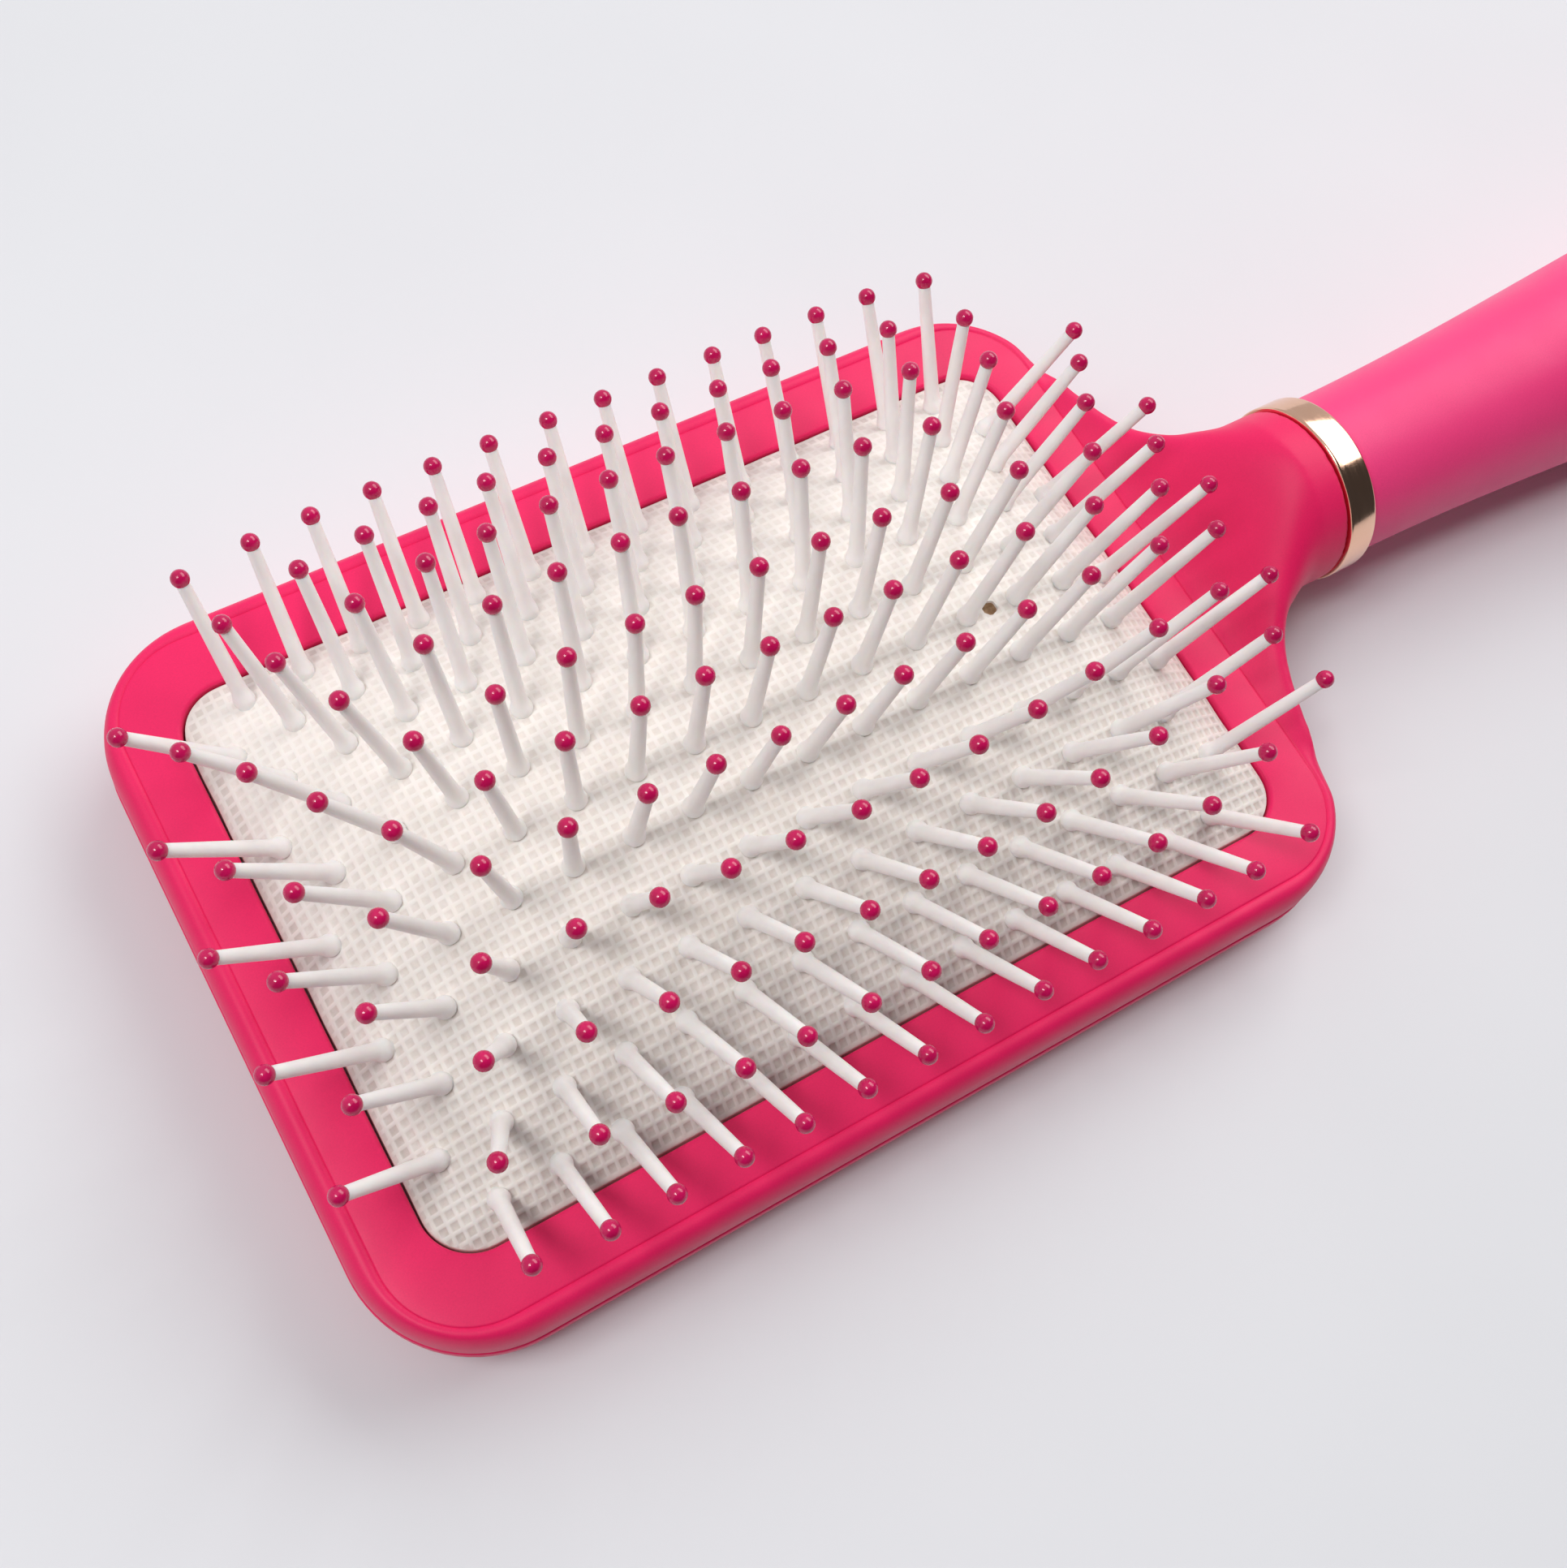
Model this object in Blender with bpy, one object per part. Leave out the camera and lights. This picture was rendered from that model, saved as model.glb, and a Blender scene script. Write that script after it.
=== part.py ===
"""Paddle hair brush: pneumatic cushion of pins in a flat rectangular head, with a round handle.

Metres, +Z up. The brush lies on its back with the pins pointing up. +X runs from the toe of
the head to the end of the handle, and Y = 0 is the plane of symmetry. The origin is on the
surface that the brush lies on, below the middle of its length.
"""
import math

import bmesh
import bpy
from mathutils import Vector

MM = 0.001

# Driving dimensions, in millimetres.
LENGTH = 246.0              # toe to end of handle
HEAD_HALF_X = 58.5          # head outline, half sizes
HEAD_HALF_Y = 41.4
HEAD_CORNER = 14.0
CORNER_TIGHTENING = 2.0     # how much more the corners lose across the lip
HEAD_X = HEAD_HALF_X - LENGTH / 2
FACE_Z = 12.8               # flat face of the bezel
BEAD_Z = FACE_Z + 0.1       # crest of the outer lip
PARTING_Z = 6.3             # underside of the head body
GAP = 0.3                   # clearance between neighbouring pieces

OPENING_HALF_X = 50.5       # opening in the bezel
OPENING_HALF_Y = 32.4
OPENING_CORNER = 5.5
SEAM_INSET = 2.9            # lip's inner wall, measured in from the head outline
SHELF_INSET = 5.0           # inner edge of the shelf that carries the bezel
SHELF_Z = 10.5
BEZEL_BASE_Z = SHELF_Z + GAP

FLANGE_INSET = 5.4          # outer edge of pad flange and retainer
FLANGE_Z = (9.3, 10.5)
RETAINER_Z = (7.6, 9.0)
RETAINER_HALF_X = 48.9
RETAINER_HALF_Y = 30.8

DOME_BASE_Z = 12.2          # the pad's bulge over the opening
DOME_HEIGHT = 12.3
DOME_POWER_X = 5.1
DOME_POWER_Y = 2.1
PAD_SKIN = 1.7
PAD_EDGE_GAP = 0.5
VENT = (28.2, 0.0)          # vent hole, from the head's middle
VENT_RADIUS = 0.9

ROWS = 11                   # pins
ROW_PITCH = 5.73
PIN_PITCH = 6.51
PINS_SHORT_ROW = 14
FIELD_SHIFT_X = -0.9
PIN_LENGTH = 15.45          # pad surface to the middle of the ball
FOOT_RADIUS = 1.08
STEM_RADIUS = 0.72
BALL_RADIUS = 0.97
PIN_SIDES = 6
WEB_WIDTH = 3.0             # strip that joins the feet of a row, let into the pad
WEB_DEPTH = 0.8
LEAN_X = (0.74, 24.0, 1.6)    # lean at the edge, reach in millimetres, falloff power
LEAN_Y = (0.597, 25.5, 4.0)
LEAN_SHARE = 2.9            # how strongly the nearer edge wins at a corner

AXIS_Z = 14.9               # handle axis
COLLAR_RADIUS = 10.4
COLLAR_X = 72.7             # end of the neck, from the head's middle
COLLAR_LENGTH = 3.5
NECK_START_X = 55.75
NECK_HALF_Y = 11.3
NECK_ROUND_X = 65.0         # from here on the neck narrows to the collar
NECK_SQUARENESS = (7.0, 2.0)    # exponent of its section, at the head and at the collar
SHOULDER_SPREAD = 15.5      # how far the shoulders flare out beyond the neck
SHOULDER_RUN = 14.1
SHOULDER_POWER = 5.0
SHOULDER_LIMIT = 28.5
SCOOP_SLOPES = (0.36, 0.45)     # of the neck's top, at the bezel and at the collar
RING_X = (73.0, 76.7)
RING_RADIUS = 10.7
TANG_RADIUS = 6.0
TANG_END_X = 140.0
BORE_RADIUS = TANG_RADIUS + GAP
GRIP_X = (77.0, 178.0)
GRIP_RADIUS = (9.7, 13.8)       # at the ring and at its fullest
GRIP_FULL_X = 160.0
SLEEVE_WALL = 1.8
PLUG_DEPTH = 18.0

CORNER_STEPS = 6
PAD_SIDE_STEPS = 5
TURN_SIDES = 24


def material(name, colour, roughness, metallic=0.0):
    mat = bpy.data.materials.new(name)
    mat.use_nodes = True
    shader = mat.node_tree.nodes["Principled BSDF"]
    shader.inputs["Base Color"].default_value = (*colour, 1.0)
    shader.inputs["Roughness"].default_value = roughness
    shader.inputs["Metallic"].default_value = metallic
    return mat


def make_object(name, bm, mat, sharp_angle=40.0):
    bmesh.ops.recalc_face_normals(bm, faces=bm.faces)
    mesh = bpy.data.meshes.new(name)
    bm.to_mesh(mesh)
    bm.free()
    mesh.materials.append(mat)
    mesh.shade_smooth()
    mesh.set_sharp_from_angle(angle=math.radians(sharp_angle))
    obj = bpy.data.objects.new(name, mesh)
    bpy.context.collection.objects.link(obj)
    return obj


def cut_or_join(target, other, operation):
    """Boolean with another object, which stays in the file as a hidden guide."""
    other.hide_render = True
    other.display_type = "WIRE"
    mod = target.modifiers.new(other.name, "BOOLEAN")
    mod.operation = operation
    mod.solver = "EXACT"
    mod.object = other


def smoothstep(t):
    t = min(max(t, 0.0), 1.0)
    return t * t * (3.0 - 2.0 * t)


def mix(a, b, t):
    return a + (b - a) * t


def rounded_rectangle(half_x, half_y, radius, side_steps=1):
    """Points anticlockwise round a rounded rectangle about the head's middle."""
    points = []
    centres = ((1, 1), (-1, 1), (-1, -1), (1, -1))
    for quarter, (sx, sy) in enumerate(centres):
        for step in range(CORNER_STEPS + 1):
            angle = math.pi / 2 * (quarter + step / CORNER_STEPS)
            x = sx * (half_x - radius) + radius * math.cos(angle)
            y = sy * (half_y - radius) + radius * math.sin(angle)
            points.append((x, y))
    if side_steps == 1:
        return points
    dense = []
    for (x0, y0), (x1, y1) in zip(points, points[1:] + points[:1]):
        long_side = math.hypot(x1 - x0, y1 - y0) > radius
        count = side_steps if long_side else 1
        dense += [(mix(x0, x1, k / count), mix(y0, y1, k / count)) for k in range(count)]
    return dense


def head_outline(inset):
    """The head's outline, moved inwards. The corners grow tighter across the lip."""
    radius = max(HEAD_CORNER - inset - CORNER_TIGHTENING * min(inset / SEAM_INSET, 1.0), 1.0)
    return rounded_rectangle(HEAD_HALF_X - inset, HEAD_HALF_Y - inset, radius)


def add_ring(bm, points, z):
    """One loop of vertices from head-centred points at a height or a height function."""
    height = z if callable(z) else (lambda x, y: z)
    return [bm.verts.new(((HEAD_X + x) * MM, y * MM, height(x, y) * MM)) for x, y in points]


def bridge(bm, ring_a, ring_b):
    count = len(ring_a)
    for k in range(count):
        bm.faces.new((ring_a[k], ring_a[(k + 1) % count], ring_b[(k + 1) % count], ring_b[k]))


def closed_frame(name, rings, mat):
    """A hollow frame whose section runs through the rings and back to the first."""
    bm = bmesh.new()
    loops = [add_ring(bm, points, z) for points, z in rings]
    for a, b in zip(loops, loops[1:] + loops[:1]):
        bridge(bm, a, b)
    return make_object(name, bm, mat)


def capped_stack(name, rings, mat):
    """A solid whose skin runs through the rings, closed by a face at each end."""
    bm = bmesh.new()
    loops = [add_ring(bm, points, z) for points, z in rings]
    for a, b in zip(loops, loops[1:]):
        bridge(bm, a, b)
    bm.faces.new(loops[0])
    bm.faces.new(loops[-1])
    return make_object(name, bm, mat)


def turned(name, profile, mat, sides=TURN_SIDES, closed=False):
    """A solid of revolution about the handle axis, from (x, radius) points.

    A closed profile comes back to its first point and leaves a bore. An open one starts and
    ends on the axis.
    """
    bm = bmesh.new()
    loops = []
    for x, radius in profile:
        if radius == 0.0:
            loops.append([bm.verts.new(((HEAD_X + x) * MM, 0.0, AXIS_Z * MM))])
            continue
        loop = []
        for k in range(sides):
            angle = 2 * math.pi * k / sides
            loop.append(bm.verts.new(((HEAD_X + x) * MM, radius * math.sin(angle) * MM,
                                      (AXIS_Z - radius * math.cos(angle)) * MM)))
        loops.append(loop)
    pairs = list(zip(loops, loops[1:]))
    if closed:
        pairs.append((loops[-1], loops[0]))
    for a, b in pairs:
        if len(a) == 1:
            for k in range(sides):
                bm.faces.new((a[0], b[k], b[(k + 1) % sides]))
        elif len(b) == 1:
            for k in range(sides):
                bm.faces.new((b[0], a[k], a[(k + 1) % sides]))
        else:
            bridge(bm, a, b)
    return make_object(name, bm, mat)


# Head

def head_body(mat):
    """Outer lip and sides, shoulders, round neck and the tang inside the handle."""
    section = [(0.45, PARTING_Z), (0.2, 7.5), (0.2, 9.3), (0.4, 11.0), (0.95, 12.2), (1.8, BEAD_Z),
               (2.5, FACE_Z), (SEAM_INSET, 12.3), (SEAM_INSET, SHELF_Z), (SHELF_INSET, SHELF_Z),
               (SHELF_INSET, PARTING_Z)]
    body = closed_frame("head_body", [(head_outline(d), z) for d, z in section], mat)
    cut_or_join(body, neck(mat), "UNION")
    root_x = COLLAR_X - 3.0
    tang = [(root_x, 0.0), (root_x, TANG_RADIUS), (TANG_END_X - 1.0, TANG_RADIUS),
            (TANG_END_X, TANG_RADIUS - 1.0), (TANG_END_X, 0.0)]
    cut_or_join(body, turned("tang_guide", tang, mat, sides=16), "UNION")
    return body


def neck_half_width(x):
    """Half width of the neck, which flares out into the head as a smooth concave shoulder."""
    flare = SHOULDER_SPREAD * ((COLLAR_X - x) / SHOULDER_RUN) ** SHOULDER_POWER
    return min(NECK_HALF_Y + flare, SHOULDER_LIMIT)


def scoop_z(x):
    """Top of the neck: a hollow that leaves the bezel at a slope and meets the collar in a soft crease."""
    run = COLLAR_X - COLLAR_LENGTH - NECK_START_X
    t = min((x - NECK_START_X) / run, 1.0)
    start, end = FACE_Z - 0.1, AXIS_Z + COLLAR_RADIUS
    slope_in, slope_out = SCOOP_SLOPES
    sag = slope_in * t * (1.0 - t) ** 2 - slope_out * t ** 2 * (1.0 - t)
    return start + run * sag + (end - start) * smoothstep(t)


def neck(mat):
    """Loft from the head's end wall to the round collar."""
    collar_start = COLLAR_X - COLLAR_LENGTH
    stations = (NECK_START_X, 57.5, 58.4, 58.8, 59.6, 61.0, 63.0, 65.0, 67.2, collar_start, COLLAR_X)
    quarter = 7
    bm = bmesh.new()
    loops = []
    for x in stations:
        t = smoothstep((x - HEAD_HALF_X) / (collar_start - HEAD_HALF_X))
        middle = mix(9.3, AXIS_Z, t)
        top = scoop_z(x)
        bottom = mix(PARTING_Z + 0.2, AXIS_Z - COLLAR_RADIUS, t)
        narrowing = smoothstep((x - NECK_ROUND_X) / (collar_start - NECK_ROUND_X))
        width = mix(neck_half_width(x), COLLAR_RADIUS, narrowing)
        power = 2.0 / mix(*NECK_SQUARENESS, t ** 0.35)
        loop = []
        for k in range(4 * quarter):
            angle = math.pi / 2 * k / quarter
            c, s = math.cos(angle), math.sin(angle)
            y = width * math.copysign(abs(c) ** power, c)
            height = top - middle if s > 0 else middle - bottom
            z = middle + height * math.copysign(abs(s) ** power, s)
            loop.append(bm.verts.new(((HEAD_X + x) * MM, y * MM, z * MM)))
        loops.append(loop)
    for a, b in zip(loops, loops[1:]):
        bridge(bm, a, b)
    bm.faces.new(loops[0])
    bm.faces.new(loops[-1])
    return make_object("neck_guide", bm, mat)


def pad_bezel(mat):
    outer = SEAM_INSET + GAP
    opening = rounded_rectangle(OPENING_HALF_X, OPENING_HALF_Y, OPENING_CORNER)
    opening_top = rounded_rectangle(OPENING_HALF_X + 0.5, OPENING_HALF_Y + 0.5, OPENING_CORNER + 0.5)
    rings = [(head_outline(outer), BEZEL_BASE_Z), (head_outline(outer), FACE_Z - 0.4),
             (head_outline(outer + 0.4), FACE_Z), (opening_top, FACE_Z), (opening, FACE_Z - 0.5),
             (opening, BEZEL_BASE_Z)]
    return closed_frame("pad_bezel", rings, mat)


def pad_retainer(mat):
    low, high = RETAINER_Z
    inner = rounded_rectangle(RETAINER_HALF_X, RETAINER_HALF_Y, OPENING_CORNER - 1.5)
    outer = head_outline(FLANGE_INSET)
    return closed_frame("pad_retainer", [(outer, low), (outer, high), (inner, high), (inner, low)], mat)


def back_shell(mat):
    """Shallow dish with a flat back, and a rib inside that holds the retainer up."""
    rim_z = PARTING_Z - GAP
    rib_z = RETAINER_Z[0] - GAP
    section = [(9.0, 0.0), (5.8, 0.7), (3.2, 2.0), (1.2, 3.6), (0.15, 5.0), (0.0, 5.6), (0.1, rim_z),
               (3.0, rim_z), (3.4, 3.6), (5.9, 3.2), (5.9, rib_z), (7.6, rib_z), (7.6, 2.0)]
    return capped_stack("back_shell", [(head_outline(d), z) for d, z in section], mat)


# Cushion

def dome_z(x, y):
    """Height of the pad's outer surface, for a point from the head's middle."""
    u = min(abs(x) / OPENING_HALF_X, 1.0)
    v = min(abs(y) / OPENING_HALF_Y, 1.0)
    return DOME_BASE_Z + DOME_HEIGHT * (1.0 - u ** DOME_POWER_X) * (1.0 - v ** DOME_POWER_Y)


def dome_normal(x, y):
    step = 0.05
    slope_x = (dome_z(x + step, y) - dome_z(x - step, y)) / (2 * step)
    slope_y = (dome_z(x, y + step) - dome_z(x, y - step)) / (2 * step)
    return Vector((-slope_x, -slope_y, 1.0)).normalized()


def scaled_opening(inset, scale):
    half_x = OPENING_HALF_X - inset
    half_y = OPENING_HALF_Y - inset
    points = rounded_rectangle(half_x, half_y, OPENING_CORNER - inset, PAD_SIDE_STEPS)
    return [(x * scale, y * scale) for x, y in points]


def cushion_pad(mat):
    """Domed skin with a flange, a vent hole and a groove for each row's strip."""
    bottom_z, top_z = FLANGE_Z
    flange_radius = HEAD_CORNER - FLANGE_INSET
    flange_half = (HEAD_HALF_X - FLANGE_INSET, HEAD_HALF_Y - FLANGE_INSET)
    flange = rounded_rectangle(*flange_half, flange_radius, PAD_SIDE_STEPS)
    edge = scaled_opening(PAD_EDGE_GAP, 1.0)
    inner = scaled_opening(PAD_EDGE_GAP + PAD_SKIN, 1.0)
    scales = (0.96, 0.86, 0.68, 0.4)
    rings = [(flange, bottom_z), (flange, top_z), (edge, top_z), (edge, DOME_BASE_Z - 0.3)]
    rings += [(scaled_opening(PAD_EDGE_GAP, s), dome_z) for s in scales]
    under = [(scaled_opening(PAD_EDGE_GAP + PAD_SKIN, s), lambda x, y: dome_z(x, y) - PAD_SKIN)
             for s in reversed(scales)]
    under += [(inner, DOME_BASE_Z - PAD_SKIN - 0.2), (inner, bottom_z)]

    bm = bmesh.new()
    outer_loops = [add_ring(bm, points, z) for points, z in rings]
    inner_loops = [add_ring(bm, points, z) for points, z in under]
    for a, b in zip(outer_loops, outer_loops[1:]):
        bridge(bm, a, b)
    for a, b in zip(inner_loops, inner_loops[1:]):
        bridge(bm, a, b)
    bridge(bm, inner_loops[-1], outer_loops[0])
    for loop, z in ((outer_loops[-1], dome_z(0, 0)), (inner_loops[0], dome_z(0, 0) - PAD_SKIN)):
        centre = bm.verts.new((HEAD_X * MM, 0.0, z * MM))
        for k, vert in enumerate(loop):
            bm.faces.new((centre, vert, loop[(k + 1) % len(loop)]))
    pad = make_object("cushion_pad", bm, mat)

    bm = bmesh.new()
    bmesh.ops.create_cone(bm, cap_ends=True, segments=8, radius1=VENT_RADIUS * MM,
                          radius2=VENT_RADIUS * MM, depth=10 * MM)
    vent_x, vent_y = VENT
    bmesh.ops.translate(bm, vec=((HEAD_X + vent_x) * MM, vent_y * MM, dome_z(*VENT) * MM), verts=bm.verts)
    cut_or_join(pad, make_object("vent_guide", bm, mat), "DIFFERENCE")

    bm = bmesh.new()
    for row in range(ROWS):
        web_bar(bm, row_feet(row), WEB_WIDTH + 2 * GAP, -1.0, WEB_DEPTH + GAP, GAP)
    cut_or_join(pad, make_object("groove_guide", bm, mat), "DIFFERENCE")
    return pad


# Pins

def row_feet(row):
    """Where a row's pins stand, from the head's middle. Every second row is set half a pitch over."""
    y = (row - (ROWS - 1) / 2) * ROW_PITCH
    count = PINS_SHORT_ROW + row % 2
    return [(FIELD_SHIFT_X + (k - (count - 1) / 2) * PIN_PITCH, y) for k in range(count)]


def lean_towards(position, to_edge, law):
    """Sideways part of a pin's direction, which fades with distance from the edge."""
    amount, reach, power = law
    side = (position > 0.01) - (position < -0.01)
    return side * amount * math.exp(-(to_edge / reach) ** power)


def pin_direction(x, y):
    """Pins lean out over the nearer edges, as the pad bulges."""
    x -= FIELD_SHIFT_X
    to_end = OPENING_HALF_X - abs(x)
    to_side = OPENING_HALF_Y - abs(y)
    total = to_end ** LEAN_SHARE + to_side ** LEAN_SHARE
    lean_x = lean_towards(x, to_end, LEAN_X) * to_side ** LEAN_SHARE / total
    lean_y = lean_towards(y, to_side, LEAN_Y) * to_end ** LEAN_SHARE / total
    return Vector((lean_x, lean_y, math.sqrt(1.0 - lean_x ** 2 - lean_y ** 2)))


def web_corners(bm, x, y, width, high, low):
    """Four corners of a strip's section across the row, at heights measured from the dome."""
    corners = []
    for side, drop in ((-1, high), (1, high), (1, low), (-1, low)):
        edge_y = y + side * width / 2
        point = Vector((HEAD_X + x, edge_y, dome_z(x, edge_y))) - dome_normal(x, edge_y) * drop
        corners.append(bm.verts.new(point * MM))
    return corners


def web_stations(feet, extra):
    half = PIN_PITCH / 2
    ends = [feet[0][0] - FOOT_RADIUS - 0.5 - extra]
    return ends + [x + half for x, _ in feet[:-1]] + [feet[-1][0] + FOOT_RADIUS + 0.5 + extra]


def web_bar(bm, feet, width, high, low, extra):
    sections = [web_corners(bm, x, feet[0][1], width, high, low) for x in web_stations(feet, extra)]
    for a, b in zip(sections, sections[1:]):
        bridge(bm, a, b)
    bm.faces.new(sections[0])
    bm.faces.new(sections[-1])


def pin_row(row, mat):
    """A row of pins on a thin strip let into the pad."""
    feet = row_feet(row)
    bm = bmesh.new()
    y = feet[0][1]
    sections = [web_corners(bm, x, y, WEB_WIDTH, 0.0, WEB_DEPTH) for x in web_stations(feet, 0.0)]
    for a, b in zip(sections, sections[1:]):
        for k in (1, 2, 3):
            bm.faces.new((a[k], a[(k + 1) % 4], b[(k + 1) % 4], b[k]))
    bm.faces.new(sections[0])
    bm.faces.new(sections[-1])
    for (x, _), a, b in zip(feet, sections, sections[1:]):
        foot = add_pin(bm, x, y)
        fill_round_foot(bm, (a[0], b[0], b[1], a[1]), foot)
    return make_object(f"pin_row_{row + 1:02d}", bm, mat)


def add_pin(bm, x, y):
    """Tapered pin with a ball tip. Returns the loop of vertices round its foot."""
    base = Vector((HEAD_X + x, y, dome_z(x, y)))
    axis = pin_direction(x, y)
    across = Vector((0.0, 1.0, 0.0)).cross(axis).normalized()
    up = axis.cross(across)
    neck_at = PIN_LENGTH - BALL_RADIUS
    loops = []
    for distance, radius in ((0.0, FOOT_RADIUS), (neck_at, STEM_RADIUS), (PIN_LENGTH, BALL_RADIUS)):
        loop = []
        for k in range(PIN_SIDES):
            angle = 2 * math.pi * k / PIN_SIDES
            offset = (across * math.cos(angle) + up * math.sin(angle)) * radius
            point = base + offset + axis * distance
            if distance == 0.0:
                point.z = dome_z(point.x - HEAD_X, point.y)
            loop.append(bm.verts.new(point * MM))
        loops.append(loop)
    for a, b in zip(loops, loops[1:]):
        bridge(bm, a, b)
    apex = bm.verts.new((base + axis * (PIN_LENGTH + BALL_RADIUS)) * MM)
    for k in range(PIN_SIDES):
        bm.faces.new((loops[-1][k], loops[-1][(k + 1) % PIN_SIDES], apex))
    return loops[0]


def fill_round_foot(bm, corners, foot):
    """Fill the strip's top between its four corners and the foot's loop with triangles."""
    centre = sum((v.co for v in foot), Vector()) / len(foot)

    def bearing(vert):
        return math.atan2(vert.co.y - centre.y, vert.co.x - centre.x) % (2 * math.pi)

    outer = sorted(corners, key=bearing)
    inner = sorted(foot, key=bearing)
    i = j = 0
    while i < len(outer) or j < len(inner):
        next_outer = bearing(outer[i]) if i < len(outer) else math.inf
        next_inner = bearing(inner[j]) if j < len(inner) else math.inf
        a, b = outer[i - 1], inner[j - 1]
        if next_outer < next_inner:
            bm.faces.new((a, outer[i], b))
            i += 1
        else:
            bm.faces.new((a, b, inner[j]))
            j += 1


# Handle

def grip_radius(x):
    t = smoothstep((x - GRIP_X[0]) / (GRIP_FULL_X - GRIP_X[0]))
    taper = 0.9 * smoothstep((x - GRIP_FULL_X) / 24.0)
    return mix(*GRIP_RADIUS, t) - taper


def ferrule_ring(mat):
    low, high = RING_X
    profile = [(low, BORE_RADIUS), (low, RING_RADIUS - 0.4), (low + 0.4, RING_RADIUS),
               (high - 0.4, RING_RADIUS), (high, RING_RADIUS - 0.4), (high, BORE_RADIUS)]
    return turned("ferrule_ring", profile, mat, closed=True)


def grip_stations():
    start, end = GRIP_X
    steps = 9
    return [mix(start, end, k / steps) for k in range(steps + 1)]


def handle_core(mat):
    inset = SLEEVE_WALL + GAP
    outer = [(x, grip_radius(x) - inset) for x in grip_stations()]
    bore = [(x, BORE_RADIUS) for x in reversed(GRIP_X)]
    return turned("handle_core", outer + bore, mat, closed=True)


def handle_sleeve(mat):
    outer = [(x, grip_radius(x)) for x in grip_stations()]
    inner = [(x, grip_radius(x) - SLEEVE_WALL) for x in reversed(grip_stations())]
    return turned("handle_sleeve", outer + inner, mat, closed=True)


def end_cap(mat):
    """Rounded end of the handle with a plug that fits the core's bore."""
    start = GRIP_X[1] + GAP
    end = LENGTH - HEAD_HALF_X
    radius = grip_radius(start)
    plug_start = start - PLUG_DEPTH
    profile = [(plug_start, 0.0), (plug_start, TANG_RADIUS - 0.5), (plug_start + 0.5, TANG_RADIUS),
               (start, TANG_RADIUS)]
    steps = 5
    for k in range(steps):
        angle = math.pi / 2 * k / steps
        profile.append((start + (end - start) * math.sin(angle), radius * math.cos(angle)))
    profile.append((end, 0.0))
    return turned("end_cap", profile, mat)


def build():
    for obj in list(bpy.data.objects):
        bpy.data.objects.remove(obj, do_unlink=True)
    pink = material("soft_touch_pink", (0.80, 0.035, 0.12), 0.5)
    grip_pink = material("satin_grip_pink", (0.90, 0.08, 0.22), 0.4)
    rubber = material("off_white_rubber", (0.80, 0.78, 0.74), 0.6)
    nylon = material("white_nylon", (0.85, 0.84, 0.81), 0.35)
    gold = material("rose_gold", (0.80, 0.50, 0.34), 0.15, 1.0)
    inner = material("inner_plastic", (0.55, 0.55, 0.55), 0.5)

    head_body(pink)
    pad_bezel(pink)
    back_shell(pink)
    pad_retainer(inner)
    cushion_pad(rubber)
    for row in range(ROWS):
        pin_row(row, nylon)
    ferrule_ring(gold)
    handle_core(inner)
    handle_sleeve(grip_pink)
    end_cap(grip_pink)


build()
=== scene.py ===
"""Looks of a paddle hair brush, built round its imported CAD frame.

The brush lies on its back with the pins up. Helper shapes are worked out in millimetres from the
middle of the head, and turned into metres in the row frame when a mesh is made.
"""

import math

import bmesh
import bpy
import numpy as np
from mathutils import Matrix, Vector


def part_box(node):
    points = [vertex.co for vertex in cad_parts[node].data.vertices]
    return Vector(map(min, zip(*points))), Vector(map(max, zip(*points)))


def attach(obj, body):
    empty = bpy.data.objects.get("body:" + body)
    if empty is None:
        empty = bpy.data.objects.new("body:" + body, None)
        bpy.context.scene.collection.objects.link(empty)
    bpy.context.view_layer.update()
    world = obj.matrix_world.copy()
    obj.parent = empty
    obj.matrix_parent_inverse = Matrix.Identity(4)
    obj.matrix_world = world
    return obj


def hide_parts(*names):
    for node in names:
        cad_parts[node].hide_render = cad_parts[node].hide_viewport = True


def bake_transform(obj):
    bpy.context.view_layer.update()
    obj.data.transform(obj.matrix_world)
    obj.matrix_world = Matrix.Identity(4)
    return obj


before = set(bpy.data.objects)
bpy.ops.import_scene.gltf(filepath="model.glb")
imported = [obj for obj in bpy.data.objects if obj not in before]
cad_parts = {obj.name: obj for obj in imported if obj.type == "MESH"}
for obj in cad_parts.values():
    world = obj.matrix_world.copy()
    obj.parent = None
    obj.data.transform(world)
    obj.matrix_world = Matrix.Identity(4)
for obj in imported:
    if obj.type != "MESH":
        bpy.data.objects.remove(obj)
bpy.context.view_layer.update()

MM = 0.001

# Places and sizes read from the frame, in millimetres from the head's middle.
bezel_low, bezel_high = (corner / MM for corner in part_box("pad_bezel"))
back_low, back_high = (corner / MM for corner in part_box("back_shell"))
ring_low, ring_high = (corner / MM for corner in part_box("ferrule_ring"))
grip_low, grip_high = (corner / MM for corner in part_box("handle_sleeve"))
cap_low, cap_high = (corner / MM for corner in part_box("end_cap"))

HEAD_X = (bezel_low.x + bezel_high.x) / 2
FACE_Z = bezel_high.z
BEZEL_BASE_Z = bezel_low.z
HEAD_HALF_X = HEAD_X - back_low.x
HEAD_HALF_Y = back_high.y
AXIS_Z = (ring_low.z + ring_high.z) / 2
RING_X = (ring_low.x - HEAD_X, ring_high.x - HEAD_X)
RING_RADIUS = (ring_high.z - ring_low.z) / 2
GRIP_X = (grip_low.x - HEAD_X, grip_high.x - HEAD_X)
CAP_X = (cap_low.x - HEAD_X, cap_high.x - HEAD_X)
BACK_RIM_Z = back_high.z

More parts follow.
